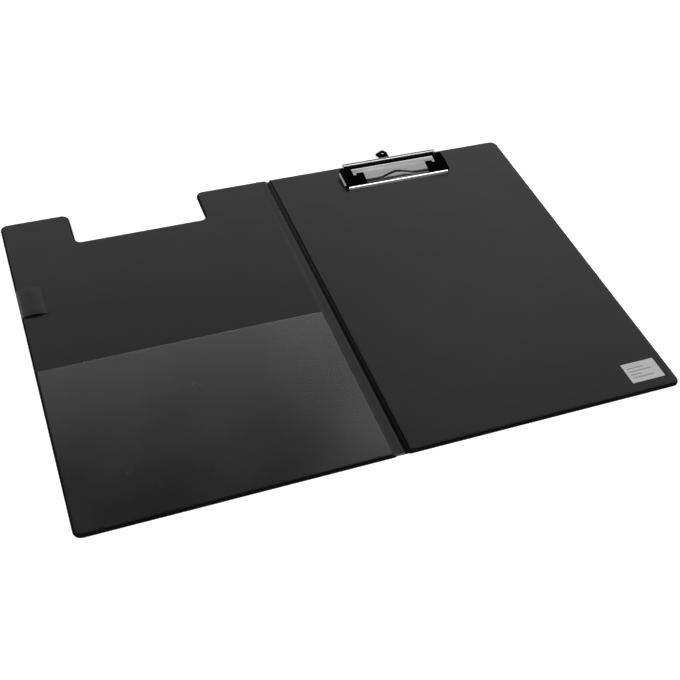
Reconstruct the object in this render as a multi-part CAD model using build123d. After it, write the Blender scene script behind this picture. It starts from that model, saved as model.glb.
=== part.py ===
from build123d import *
import math
import os

# A fold-over clipboard lying open: notched front cover on the left, spine, back panel with the clip on the right.
# Page frame: X runs right from the cover's outer edge, Y up the page from its bottom edge, Z up from the table.
# Millimetres throughout.

# Panels: a greyboard core sealed between two skins
board_height = 320.0
panel_width = 219.6
spine_width = 12.4
skin = 0.3
core = 1.9
weld_rim = 2.6
drape_run = 0.9
corner_radius = 6.0
core_corner_radius = 2.5
hinge_gap = 0.6

# Notch that lets the clip through when the cover is closed
notch_side_clearance = 5.2
notch_front_clearance = 6.6
notch_corner_radius = 4.5

# Clear pocket, open along its top edge
pocket_height = 145.0
pocket_sheet = 0.2
pocket_air = 0.35
pocket_weld = 1.5
pocket_border = 0.1

# Pen loop at the cover's outer edge
loop_width = 20.0
loop_length = 31.0
loop_bottom = 207.0
loop_band = 0.5
loop_air = 1.6
loop_flange = 2.4
loop_edge = 0.8
loop_rise = 1.9

# Label on the back panel
label_width = 28.0
label_height = 19.0
label_side = 7.9
label_bottom = 9.8
label_paper = 0.1

# Clip: positions run back from its front face, heights up from the panel's face
clip_width = 98.6
jaw_rear_margin = 4.4
jaw_sheet = 0.7
lip_clearance = 0.15
lip_height = 1.9
lip_bend = 1.2
slope_run = 11.9
crown_bend = 5.0
trough_fall = 1.3
trough_depth = 1.4
trough_floor = 1.6
trough_rise = 1.55
trough_bend = 0.6
roll_radius = 1.6
roll_lift = 0.75
roll_inset = 6.3
roll_turn = 250.0
flange_run = 2.4
flange_drop = 1.5
side_wall_gap = 0.5
side_wall_rear_gap = 2.2
side_tail = 1.7

# Raised panel on the jaw with its arched front crease
relief = 0.5
relief_past_ear = 0.6
relief_rear_gap = 0.6
shoulder_width = 10.0
shoulder_past_pivot = 1.2
finger_width = 2.7
finger_length = 2.0
crease_side = 3.9
crease_peak = 8.2
crease_flat = 9.8
crease_top = 4.0

# End caps seated on the jaw's ends
cap_thickness = 0.6
cap_gap = 0.3
cap_front = 1.7

# Pivot
pivot_past_slope = 2.5
crown_past_pivot = 4.3
pin_radius = 0.75
pin_running_clearance = 0.06
pin_over_channel = 0.15
pin_head_radius = 1.1
pin_head = 0.5
pin_head_play = 1.0
ear_wall = 0.75

# Base plate under the jaw
base_sheet = 0.6
base_border = 0.6
base_tail = 2.6

# Torsion springs on the pin
spring_wire = 0.3
spring_turns = 4.5
spring_pitch = 1.05
spring_seat_gap = 0.05
spring_top_gap = 0.15
spring_side_gap = 1.5
spring_low_leg = 4.4
spring_high_leg = 3.6

# Rivets through the panel, set in a recess under the board
rivet_margin = 20.5
rivet_ahead = 6.0
rivet_radius = 1.5
rivet_head_radius = 3.0
rivet_head = 0.8
rivet_tail_radius = 2.4
rivet_tail = 0.5
washer_radius = 3.4
washer = 0.4
recess_radius = 3.7
recess_floor_gap = 0.1

# Sliding hanging eyelet
eyelet_reach = 13.5
eyelet_width = 11.0
eyelet_sheet = 0.7
eyelet_lift = 0.1
eyelet_hole_radius = 1.6
eyelet_shoulder = 1.7
eyelet_shoulder_length = 3.0
eyelet_travel = 10.5
channel_clearance = 0.3
channel_air = 0.1
channel_past_pivot = 2.9

# Panels and hinges, worked out from the sizes above
open_width = 2 * panel_width + spine_width
panel_face = 2 * skin + core
rim_face = 2 * skin
cover_edge = panel_width + drape_run
front_hinge_x = cover_edge + hinge_gap
back_hinge_x = open_width - front_hinge_x
clip_x = open_width - panel_width / 2
cover_clip_x = open_width - clip_x
eyelet_tip = board_height + eyelet_reach
to_row_frame = Pos(-open_width / 2, -eyelet_tip / 2, 0)

# The clip from front to rear
pivot_back = slope_run + pivot_past_slope
crown_end = pivot_back + crown_past_pivot
trough_start = crown_end + trough_fall
trough_end = trough_start + trough_floor
roll_wall = trough_end + trough_rise
roll_middle = roll_radius - jaw_sheet / 2
roll_back = roll_wall + roll_middle
jaw_depth = roll_back + roll_radius
side_end = crown_end + side_tail
clip_front = board_height - jaw_rear_margin - jaw_depth
channel_rear = pivot_back + channel_past_pivot
channel_front = channel_rear - 2 * channel_clearance - eyelet_shoulder_length - eyelet_travel
base_front = channel_front - base_sheet - base_border
base_rear = channel_rear + base_sheet + base_tail
notch_bottom = clip_front - notch_front_clearance

# The clip from the panel's face up
channel_height = eyelet_lift + eyelet_sheet + channel_air
pivot_height = channel_height + base_sheet + pin_over_channel + pin_radius
ear_radius = pin_radius + ear_wall
spring_radius = pivot_height - base_sheet - spring_seat_gap - spring_wire
crown_height = pivot_height + spring_radius + spring_wire + spring_top_gap + jaw_sheet / 2
trough_height = crown_height - trough_depth
roll_height = crown_height + roll_lift

# The clip from its middle outwards
clip_half = clip_width / 2
base_outer = clip_half - jaw_sheet - pin_head_play - pin_head
base_inner = base_outer - base_sheet
spring_length = spring_pitch * spring_turns
spring_start = base_inner - spring_side_gap - spring_length
jaw_ear_outer = spring_start - spring_side_gap
relief_half = jaw_ear_outer + relief_past_ear
relief_stem_half = relief_half - shoulder_width
relief_rear = crown_end - relief_rear_gap
shoulder_front = pivot_back - shoulder_past_pivot
finger_front = shoulder_front - finger_length
crease_foot = relief_stem_half - crease_flat
roll_half = clip_half - roll_inset
rivet_spread = base_inner - rivet_margin
rivet_back = pivot_back - rivet_ahead
notch_half = clip_half + notch_side_clearance


def block(x0, x1, y0, y1, z0, z1):
    """Rectangular solid between two corners."""
    return Pos(x0, y0, z0) * Box(x1 - x0, y1 - y0, z1 - z0, align=(Align.MIN, Align.MIN, Align.MIN))


def polygon(points):
    """Flat face through the given points."""
    return make_face(Polyline(*points, close=True))


def on_clip(shape):
    """Moves a shape drawn about the clip's centre line, front face and panel face to its place."""
    return Pos(clip_x, clip_front, panel_face) * shape


def across(section, x0, x1):
    """Solid of a section drawn in (back, up), stretched across X."""
    return Pos(x0, 0, 0) * extrude(Plane.YZ * section, amount=x1 - x0)


def rod_across(radius, back, up, x0, x1):
    """Round rod along X."""
    return across(Pos(back, up) * Circle(radius), x0, x1)


def both_sides(shape):
    """A shape and its mirror image about the clip's centre line."""
    return shape + mirror(shape, about=Plane.YZ)


def corner_at(face, x, y):
    """The face's corner nearest to a point."""
    return min(face.vertices(), key=lambda v: math.hypot(v.X - x, v.Y - y))


def panel_outline(inset, spine_inset, radius, notched):
    """Front cover outline, drawn in from its outer edges by one inset and from the spine edge by another."""
    x0, x1 = inset, cover_edge - spine_inset
    y0, y1 = inset, board_height - inset
    points = [(x0, y0), (x1, y0), (x1, y1)]
    outer = [(x0, y0), (x0, y1)]
    inner = []
    if notched:
        left, right = cover_clip_x - notch_half - inset, cover_clip_x + notch_half + inset
        floor = notch_bottom - inset
        points += [(right, y1), (right, floor), (left, floor), (left, y1)]
        outer += [(right, y1), (left, y1)]
        inner = [(right, floor), (left, floor)]
    points.append((x0, y1))
    face = polygon(points)
    for x, y in outer:
        face = fillet(corner_at(face, x, y), max(radius - inset, core_corner_radius))
    for x, y in inner:
        face = fillet(corner_at(face, x, y), notch_corner_radius + inset)
    return face


def flat_panel(inset, spine_inset, z0, z1, notched):
    """Panel layer of even thickness."""
    outline = panel_outline(inset, spine_inset, corner_radius, notched)
    return Pos(0, 0, z0) * extrude(outline, amount=z1 - z0)


def board(notched):
    """Greyboard core."""
    return flat_panel(weld_rim + drape_run + skin, drape_run + skin, skin, skin + core, notched)


def outer_skin(notched):
    """Skin that lies on the table."""
    return flat_panel(0, 0, 0, skin, notched)


def inner_skin(notched):
    """Skin draped over the board, down to the welded rim."""
    rim = flat_panel(0, 0, skin, rim_face, notched)
    foot = Pos(0, 0, skin) * panel_outline(weld_rim, 0, corner_radius, notched)
    face = Pos(0, 0, panel_face) * panel_outline(weld_rim + drape_run, drape_run, corner_radius, notched)
    raised = loft([foot.face(), face.face()], ruled=True)
    return rim + raised - board(notched)


def to_back(shape):
    """Cover-side shape turned into its back panel twin."""
    return mirror(shape, about=Plane.YZ.offset(open_width / 2))


def rivet_places():
    """Rivet centres in the page frame."""
    return [(clip_x + side * rivet_spread, clip_front + rivet_back) for side in (-1, 1)]


def at_rivets(radius, z0, z1):
    """A round solid at each rivet, as a list."""
    disc = extrude(Circle(radius), amount=z1 - z0)
    return [Pos(x, y, z0) * disc for x, y in rivet_places()]


def drilled(layer, radius, z0, z1):
    """A layer with its rivet holes."""
    for hole in at_rivets(radius, z0, z1):
        layer = layer - hole
    return layer


def back_board():
    """Back core with rivet holes, and a recess below for each washer and rivet tail."""
    recess_top = skin + recess_floor_gap + rivet_tail + washer
    layer = drilled(to_back(board(False)), rivet_radius, skin, panel_face)
    return drilled(layer, recess_radius, skin, recess_top)


def back_inner_skin():
    """Back inner skin with its rivet holes."""
    return drilled(to_back(inner_skin(False)), rivet_radius, skin + core, panel_face)


def spine_strip(z0):
    """One skin's strip between the two hinge lines."""
    return block(front_hinge_x + hinge_gap, back_hinge_x - hinge_gap, 0, board_height, z0, z0 + skin)


def pocket_block(inset, z0, z1):
    """Flat block of the pocket's outline, drawn in from its three welded edges."""
    x0, y0 = weld_rim + drape_run + pocket_border, weld_rim + drape_run + pocket_border
    x1, y1 = panel_width - pocket_border, y0 + pocket_height
    return block(x0 + inset, x1 - inset, y0 + inset, y1, panel_face + z0, panel_face + z1)


def clear_pocket():
    """Thin clear sheet over the lower part of the cover, open along its top edge."""
    return pocket_block(0, pocket_air, pocket_air + pocket_sheet)


def pocket_weld_seam():
    """Welded seam that holds the clear sheet to the cover on three sides."""
    return pocket_block(0, 0, pocket_air) - pocket_block(pocket_weld, 0, pocket_air)


def pen_loop():
    """Band from the welded rim over the board's edge, flat on top, down to a flange on the cover."""
    half = loop_band / 2
    top = panel_face + loop_air + half
    right = loop_edge + loop_width
    path = FilletPolyline(
        (loop_edge, rim_face + half),
        (loop_edge + loop_band * 2, rim_face + half),
        (loop_edge + loop_band * 2 + loop_rise, top),
        (right - loop_flange - loop_rise, top),
        (right - loop_flange, panel_face + half),
        (right, panel_face + half),
        radius=loop_band,
    )
    section = trace(path.edges(), line_width=loop_band)
    return Pos(0, loop_bottom + loop_length, 0) * extrude(Plane.XZ * section, amount=loop_length)


def label():
    """Paper sticker."""
    x1 = open_width - label_side
    return block(x1 - label_width, x1, label_bottom, label_bottom + label_height, panel_face, panel_face + label_paper)


def front_path():
    """Corners of the middle line of the jaw's lip, slope and crown, as (back, up) points."""
    return [(jaw_sheet / 2, lip_clearance), (jaw_sheet / 2, lip_height), (slope_run, crown_height)]


def jaw_section():
    """Jaw sheet from the lip over the crown and through the trough to the rolled thumb edge."""
    path = FilletPolyline(
        *front_path(),
        (crown_end, crown_height),
        (trough_start, trough_height),
        (trough_end, trough_height),
        (roll_wall, trough_height + jaw_sheet),
        (roll_wall, roll_height),
        radius=[lip_bend, crown_bend] + [trough_bend] * 4,
    )
    curl = CenterArc((roll_back, roll_height), roll_middle, 180, -roll_turn)
    return trace((path + curl).edges(), line_width=jaw_sheet)


def side_line():
    """Middle line of the slope and crown at the jaw's ends, outside the rolled edge."""
    return FilletPolyline(*front_path(), (side_end, crown_height), radius=[lip_bend, crown_bend])


def over_jaw(plan, rise):
    """Layer of even thickness on the jaw's upper face, within a plan outline."""
    thick = trace(side_line().edges(), line_width=jaw_sheet + 2 * rise)
    thin = trace(side_line().edges(), line_width=jaw_sheet)
    upper = polygon(
        [
            (jaw_sheet, lip_height),
            (slope_run, crown_height - jaw_sheet / 2),
            (side_end, crown_height - jaw_sheet / 2),
            (side_end, 2 * crown_height),
            (jaw_sheet, 2 * crown_height),
        ]
    )
    layer = across((thick - thin) & upper, -clip_half, clip_half)
    return layer & extrude(plan, amount=3 * crown_height)


def relief_plan():
    """Outline of the raised panel: wide at the rear, with a stem whose front edge is the arched crease."""
    finger = relief_half - finger_width
    right = [
        (relief_stem_half, crease_side),
        (relief_stem_half, shoulder_front),
        (finger, shoulder_front),
        (finger, finger_front),
        (relief_half, finger_front),
        (relief_half, relief_rear),
    ]
    left = [(-x, y) for x, y in reversed(right)]
    edge = Polyline(*right, *left)
    foot = (crease_foot, crease_side)
    reach = (crease_foot - crease_top) / 2
    inner_reach = crease_top + reach / 2
    crease = Bezier(foot, (crease_foot - reach, crease_side), (inner_reach, crease_peak), (0, crease_peak))
    crease_left = mirror(crease, about=Plane.YZ)
    close_right = Line((relief_stem_half, crease_side), foot)
    close_left = mirror(close_right, about=Plane.YZ)
    return make_face([*edge.edges(), close_right, crease, crease_left, close_left])


def cap_plan():
    """Outline of the right end cap, an L round the raised panel's corner."""
    inner = relief_stem_half + cap_gap
    finger = relief_half - finger_width - cap_gap
    column = relief_half + cap_gap
    outer = clip_half - flange_run - cap_gap
    roll_side = roll_half + cap_gap
    return polygon(
        [
            (inner, cap_front),
            (outer, cap_front),
            (outer, side_end - cap_gap),
            (roll_side, side_end - cap_gap),
            (roll_side, crown_end - cap_gap),
            (column, crown_end - cap_gap),
            (column, finger_front - cap_gap),
            (finger, finger_front - cap_gap),
            (finger, shoulder_front - cap_gap),
            (inner, shoulder_front - cap_gap),
        ]
    )


def end_cap():
    """Right end cap, before it is placed."""
    return over_jaw(cap_plan(), cap_thickness)


def flange_profile(back, up):
    """Cross-section of the jaw's slanted side flange and wall, standing at one point of the side line."""
    start = clip_half - flange_run
    half = jaw_sheet / 2
    depth = crown_height + jaw_sheet
    points = [
        (start, half),
        (clip_half, half - flange_drop),
        (clip_half, half - depth),
        (clip_half - jaw_sheet, half - depth),
        (clip_half - jaw_sheet, -half - flange_drop),
        (start, -half),
    ]
    return make_face(Polyline(*[(x, back, up + z) for x, z in points], close=True))


def jaw_flange():
    """Right side flange: it follows the slope and the crown, closes the lip's end and stops clear of the panel."""
    start = (jaw_sheet / 2, lip_height)
    slope = Vector(0, slope_run - start[0], crown_height - start[1])
    along_slope = extrude(flange_profile(*start), amount=slope.length, dir=slope)
    along_crown = extrude(flange_profile(slope_run, crown_height), amount=side_end - slope_run, dir=(0, 1, 0))
    shelf = clip_half - flange_run
    top = lip_height + jaw_sheet / 2
    corners = [(shelf, 0), (clip_half, 0), (clip_half, top - flange_drop), (shelf, top)]
    front = make_face(Polyline(*[(x, 0, z) for x, z in corners], close=True))
    wedge = polygon(
        [
            (0, side_wall_gap),
            (side_end, side_wall_rear_gap),
            (side_end, 2 * crown_height),
            (0, 2 * crown_height),
        ]
    )
    flange = along_slope + along_crown + extrude(front, amount=jaw_sheet, dir=(0, 1, 0))
    return flange & across(wedge, 0, clip_half)


def jaw_ear():
    """Right ear of the jaw, which rides on the pin."""
    web = polygon(
        [
            (pivot_back - ear_radius, pivot_height),
            (pivot_back + ear_radius, pivot_height),
            (pivot_back + ear_radius, crown_height),
            (pivot_back - ear_radius, crown_height),
        ]
    )
    ear = web + Pos(pivot_back, pivot_height) * Circle(ear_radius)
    hole = Pos(pivot_back, pivot_height) * Circle(pin_radius + pin_running_clearance)
    return across(ear - hole, jaw_ear_outer - jaw_sheet, jaw_ear_outer)


def jaw_side():
    """Right end of the jaw: the slope outside the rolled edge, with its flange and ear."""
    sheet = across(trace(side_line().edges(), line_width=jaw_sheet), roll_half, clip_half - flange_run)
    return sheet + jaw_flange() + jaw_ear()


def jaw_plate():
    """Pressed jaw: lip, slope, crown, trough and rolled thumb edge, with the raised panel."""
    middle = across(jaw_section(), -roll_half, roll_half)
    return middle + both_sides(jaw_side()) + over_jaw(relief_plan(), relief)


def channel(wall):
    """Block of the base plate's raised channel over the eyelet: its inside, or its outside with the wall."""
    half = eyelet_width / 2 + eyelet_shoulder + channel_clearance
    return block(-half - wall, half + wall, channel_front - wall, channel_rear + wall, 0, channel_height + wall)


def clip_base():
    """Base plate with an upturned ear at each end, rivet holes and the eyelet's channel."""
    plate = block(-base_outer, base_outer, base_front, base_rear, 0, base_sheet)
    stem = block(base_inner, base_outer, pivot_back - ear_radius, pivot_back + ear_radius, 0, pivot_height)
    ear = stem + rod_across(ear_radius, pivot_back, pivot_height, base_inner, base_outer)
    ear = ear - rod_across(pin_radius, pivot_back, pivot_height, base_inner, base_outer)
    slot_half = eyelet_width / 2 + channel_clearance
    slot = block(-slot_half, slot_half, pivot_back, base_rear, 0, channel_height)
    body = plate + both_sides(ear) + channel(base_sheet) - channel(0) - slot
    return drilled(on_clip(body), rivet_radius, panel_face, panel_face + base_sheet)


def pivot_pin():
    """Pin through the ears, headed outside each."""
    shank = rod_across(pin_radius, pivot_back, pivot_height, -base_outer, base_outer)
    head = rod_across(pin_head_radius, pivot_back, pivot_height, base_outer, base_outer + pin_head)
    return shank + both_sides(head)


def torsion_spring():
    """Right spring: legs to the rear, the low one on the base plate and the high one under the crown."""
    turn = 2 * math.pi * spring_radius
    step = math.hypot(turn, spring_pitch)
    along, aside = turn / step, spring_pitch / step
    coil = Rot(0, 90, 0) * Helix(spring_pitch, spring_length, spring_radius, lefthand=True)
    coil = Pos(spring_start, pivot_back, pivot_height) * coil
    low, high = pivot_height - spring_radius, pivot_height + spring_radius
    low_end = (spring_start - aside * spring_low_leg, pivot_back + along * spring_low_leg, low)
    high_end = (
        spring_start + spring_length + aside * spring_high_leg,
        pivot_back + along * spring_high_leg,
        high,
    )
    low_leg = Line(low_end, (spring_start, pivot_back, low))
    high_leg = Line((spring_start + spring_length, pivot_back, high), high_end)
    path = Wire([*low_leg.edges(), *coil.edges(), *high_leg.edges()])
    return sweep(Plane(low_end, z_dir=path % 0) * Circle(spring_wire), path=path)


def clip_rivets():
    """Two rivets: head on the base plate, shank through the panel, tail spread under the washer."""
    tail_z = skin + recess_floor_gap
    head_z = panel_face + base_sheet
    heads = at_rivets(rivet_head_radius, head_z, head_z + rivet_head)
    shanks = at_rivets(rivet_radius, tail_z, head_z)
    tails = at_rivets(rivet_tail_radius, tail_z, tail_z + rivet_tail)
    return Compound([h + s + t for h, s, t in zip(heads, shanks, tails)])


def rivet_washers():
    """A washer between each rivet's tail and the board."""
    z0 = skin + recess_floor_gap + rivet_tail
    rings = zip(at_rivets(washer_radius, z0, z0 + washer), at_rivets(rivet_radius, z0, z0 + washer))
    return Compound([disc - bore for disc, bore in rings])


def hanging_eyelet():
    """Flat tab with a round eye at its end and shoulders that stop it in the channel."""
    half = eyelet_width / 2
    z0 = panel_face + eyelet_lift
    rear = clip_front + channel_rear - channel_clearance
    eye_y = eyelet_tip - half
    tab = block(-half, half, rear - eyelet_shoulder_length, eye_y, z0, z0 + eyelet_sheet)
    wide = half + eyelet_shoulder
    shoulders = block(-wide, wide, rear - eyelet_shoulder_length, rear, z0, z0 + eyelet_sheet)
    round_end = Pos(0, eye_y, z0) * extrude(Circle(half), amount=eyelet_sheet)
    eye = Pos(0, eye_y, z0) * extrude(Circle(eyelet_hole_radius), amount=eyelet_sheet)
    return Pos(clip_x, 0, 0) * (tab + shoulders + round_end - eye)


def write(name, shape):
    """Writes one sub-part in the row frame."""
    export_step(to_row_frame * shape, os.path.join("parts", name + ".step"))


def main():
    os.makedirs("parts", exist_ok=True)
    write("back_outer_skin", to_back(outer_skin(False)))
    write("back_board", back_board())
    write("back_inner_skin", back_inner_skin())
    write("label_sticker", label())
    write("clip_base_plate", clip_base())
    write("clip_rivets", clip_rivets())
    write("rivet_washers", rivet_washers())
    write("pivot_pin", on_clip(pivot_pin()))
    write("torsion_spring_right", on_clip(torsion_spring()))
    write("torsion_spring_left", on_clip(mirror(torsion_spring(), about=Plane.YZ)))
    write("jaw_plate", on_clip(jaw_plate()))
    write("end_cap_right", on_clip(end_cap()))
    write("end_cap_left", on_clip(mirror(end_cap(), about=Plane.YZ)))
    write("hanging_eyelet", hanging_eyelet())
    write("spine_outer_strip", spine_strip(0))
    write("spine_inner_strip", spine_strip(skin))
    write("front_outer_skin", outer_skin(True))
    write("front_board", board(True))
    write("front_inner_skin", inner_skin(True))
    write("clear_pocket", clear_pocket())
    write("pocket_weld_seam", pocket_weld_seam())
    write("pen_loop", pen_loop())


main()
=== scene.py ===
import math

import bmesh
import bpy
from mathutils import Matrix, Vector


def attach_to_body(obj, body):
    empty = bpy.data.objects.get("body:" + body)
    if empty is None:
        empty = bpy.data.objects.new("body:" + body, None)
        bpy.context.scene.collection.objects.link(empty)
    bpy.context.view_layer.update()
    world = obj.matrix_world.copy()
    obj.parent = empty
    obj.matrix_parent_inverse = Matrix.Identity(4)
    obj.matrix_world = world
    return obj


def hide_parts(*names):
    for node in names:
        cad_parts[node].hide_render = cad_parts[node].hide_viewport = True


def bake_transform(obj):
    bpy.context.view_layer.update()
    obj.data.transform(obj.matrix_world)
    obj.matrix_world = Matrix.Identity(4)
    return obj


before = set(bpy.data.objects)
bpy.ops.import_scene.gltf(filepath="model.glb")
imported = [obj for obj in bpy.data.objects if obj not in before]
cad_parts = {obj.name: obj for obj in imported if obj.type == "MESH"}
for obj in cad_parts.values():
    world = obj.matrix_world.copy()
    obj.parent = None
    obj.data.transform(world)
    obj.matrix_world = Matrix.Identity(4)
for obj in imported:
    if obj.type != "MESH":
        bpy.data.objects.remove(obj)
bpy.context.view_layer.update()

# Page frame, in millimetres: X right from the cover's edge, Y up from the bottom edge, Z up from the table
BOARD_HEIGHT = 320.0
PANEL_WIDTH = 219.6
SPINE_WIDTH = 12.4
OPEN_WIDTH = 2 * PANEL_WIDTH + SPINE_WIDTH
EYELET_TIP = 333.5
COVER_EDGE = 220.5
FACE = 2.5
CLIP_X = OPEN_WIDTH - PANEL_WIDTH / 2
CLIP_FRONT = 289.6


def row(x, y, z):
    """Point of the page frame, in millimetres, as a point of the row frame, in metres."""
    return Vector(((x - OPEN_WIDTH / 2) / 1000, (y - EYELET_TIP / 2) / 1000, z / 1000))


def page(point):
    """Point of the row frame, in metres, as a point of the page frame, in millimetres."""
    return point.x * 1000 + OPEN_WIDTH / 2, point.y * 1000 + EYELET_TIP / 2, point.z * 1000


# Lines and curves
ARC_STEP = 15.0


def smooth_step(t):
    """Eased step: zero up to t = 0 and one from t = 1."""
    t = min(max(t, 0.0), 1.0)
    return t * t * (3 - 2 * t)


def between(table, x):
    """Height read from a line of (place, height) points, eased between them."""
    for (x0, z0), (x1, z1) in zip(table, table[1:]):
        if x <= x1:
            return z0 + (z1 - z0) * smooth_step((x - x0) / (x1 - x0))
    return table[-1][1]


def arc(cx, cy, radius, start, turn, steps):
    """Points on an arc, angles in degrees."""
    angles = [math.radians(start + turn * i / steps) for i in range(steps + 1)]
    return [(cx + radius * math.cos(a), cy + radius * math.sin(a)) for a in angles]


def rounded(corners, closed=False):
    """Line through (x, y, radius) corners, each turned into an arc; an open line keeps its two ends."""
    points = []
    count = len(corners)
    for i, (x, y, radius) in enumerate(corners):
        if radius == 0 or (not closed and i in (0, count - 1)):
            points.append((x, y))
            continue
        here = Vector((x, y))
        before = (Vector(corners[i - 1][:2]) - here).normalized()
        after = (Vector(corners[(i + 1) % count][:2]) - here).normalized()
        half = before.angle(after) / 2
        centre = here + (before + after).normalized() * (radius / math.sin(half))
        first = here + before * (radius / math.tan(half)) - centre
        last = here + after * (radius / math.tan(half)) - centre
        start = math.atan2(first.y, first.x)
        turn = (math.atan2(last.y, last.x) - start + math.pi) % (2 * math.pi) - math.pi
        steps = max(2, math.ceil(abs(turn) / math.radians(ARC_STEP)))
        points += arc(centre.x, centre.y, radius, math.degrees(start), math.degrees(turn), steps)
    return points


def offset_line(points, distance):
    """Open line moved to its left by a distance."""
    moved = []
    for i, (x, y) in enumerate(points):
        x0, y0 = points[max(i - 1, 0)]
        x1, y1 = points[min(i + 1, len(points) - 1)]
        length = math.hypot(x1 - x0, y1 - y0)
        moved.append((x - (y1 - y0) / length * distance, y + (x1 - x0) / length * distance))
    return moved


def mirrored_outline(outline, side):
    """Plan outline for the right end, or its mirror image for the left."""
    return outline if side > 0 else [(-x, y) for x, y in reversed(outline)]


# Meshes
SAME_POINT = 1e-7
HARD_ANGLE = 35.0
BEVEL_ANGLE = 40.0
BEVEL_STEPS = 3


def closed_sheet(upper, lower):
    """Points and faces of a closed sheet between two grids of points."""
    rows, columns = len(upper), len(upper[0])
    verts = [point for grid in (upper, lower) for line in grid for point in line]
    half = rows * columns
    faces = []
    for j in range(rows - 1):
        for i in range(columns - 1):
            a = j * columns + i
            quad = (a, a + 1, a + columns + 1, a + columns)
            faces += [quad, tuple(half + k for k in reversed(quad))]
    edge = list(range(columns))
    edge += [j * columns + columns - 1 for j in range(1, rows)]
    edge += [(rows - 1) * columns + i for i in range(columns - 2, -1, -1)]
    edge += [j * columns for j in range(rows - 2, 0, -1)]
    for a, b in zip(edge, edge[1:] + edge[:1]):
        faces.append((a, b, half + b, half + a))
    return verts, faces


def ring_faces(count, k, n):
    """Faces between ring k and ring n of a list of points, with the same count of points in each ring."""
    around = [(i, (i + 1) % count) for i in range(count)]
    return [(k * count + i, k * count + j, n * count + j, n * count + i) for i, j in around]


def piece(name, verts, faces, material, angle=HARD_ANGLE):
    """New mesh object from page-frame points, with outward normals and soft shading."""
    mesh = bpy.data.meshes.new(name)
    mesh.from_pydata([row(*v) for v in verts], [], faces)
    bm = bmesh.new()
    bm.from_mesh(mesh)
    bmesh.ops.remove_doubles(bm, verts=bm.verts, dist=SAME_POINT)
    return dressed(name, mesh, bm, material, angle)


def dressed(name, mesh, bm, material, angle):
    """Object from a bmesh: outward normals, soft shading with hard edges past an angle, and its material."""
    bmesh.ops.recalc_face_normals(bm, faces=bm.faces)
    for f in bm.faces:
        f.smooth = True
    for e in bm.edges:
        if len(e.link_faces) == 2 and e.calc_face_angle(0) > math.radians(angle):
            e.smooth = False
    bm.to_mesh(mesh)
    bm.free()
    obj = bpy.data.objects.new(name, mesh)
    bpy.context.scene.collection.objects.link(obj)
    mesh.materials.append(material)
    return obj


def moulding(name, outline, low, high, material, place, bevel, cuts=()):
    """Solid over a plan outline, its low and high faces given as heights, with rounded edges.

    The cuts are extra lines of points, each (x, None) or (None, y).
    """
    bm = bmesh.new()
    ring = [bm.verts.new((x, y, 0)) for x, y in outline]
    raised = bmesh.ops.extrude_face_region(bm, geom=[bm.faces.new(ring)])
    for v in [item for item in raised["geom"] if isinstance(item, bmesh.types.BMVert)]:
        v.co.z = 1
    for x, y in cuts:
        plane = Vector((1, 0, 0)) if y is None else Vector((0, 1, 0))
        geometry = bm.verts[:] + bm.edges[:] + bm.faces[:]
        bmesh.ops.bisect_plane(bm, geom=geometry, plane_co=plane * (x if y is None else y), plane_no=plane)
    for v in bm.verts:
        x, y, t = v.co
        v.co = row(*place(x, y, low(x, y) + (high(x, y) - low(x, y)) * t))
    obj = dressed(name, bpy.data.meshes.new(name), bm, material, angle=180.0)
    edge = obj.modifiers.new("edge", "BEVEL")
    edge.width = bevel / 1000
    edge.segments = BEVEL_STEPS
    edge.limit_method = "ANGLE"
    edge.angle_limit = math.radians(BEVEL_ANGLE)
    obj.modifiers.new("normals", "WEIGHTED_NORMAL")
    graph = bpy.context.evaluated_depsgraph_get()
    rough = obj.data
    obj.data = bpy.data.meshes.new_from_object(obj.evaluated_get(graph))
    obj.data.name = name
    obj.modifiers.clear()
    bpy.data.meshes.remove(rough)
    return obj


def mark_crease_shade(obj, depth_at):
    """Stores how far each point of a piece lies in a crease, from 0 to 1, for its material to darken there
    as painted shade.
    """
    mark = obj.data.attributes.new("crease", "FLOAT", "POINT")
    for vertex, value in zip(obj.data.vertices, mark.data):
        x, y, _ = page(vertex.co)
        value.value = depth_at(x, y)


def attach(obj, body, slot, *nodes):
    """Sets the piece's body and hides the CAD nodes that it stands for; its record slot is not used."""
    if nodes:
        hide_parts(*nodes)
    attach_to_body(obj, body)


# Materials: a noise's scale is repeats in a metre, and a bump's depth is in metres
NOISE_LOW = 0.3
NOISE_HIGH = 0.7
BEVEL_SAMPLES = 4


def grey(level):
    """Grey colour of a level."""
    return (level,) * 3


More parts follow.
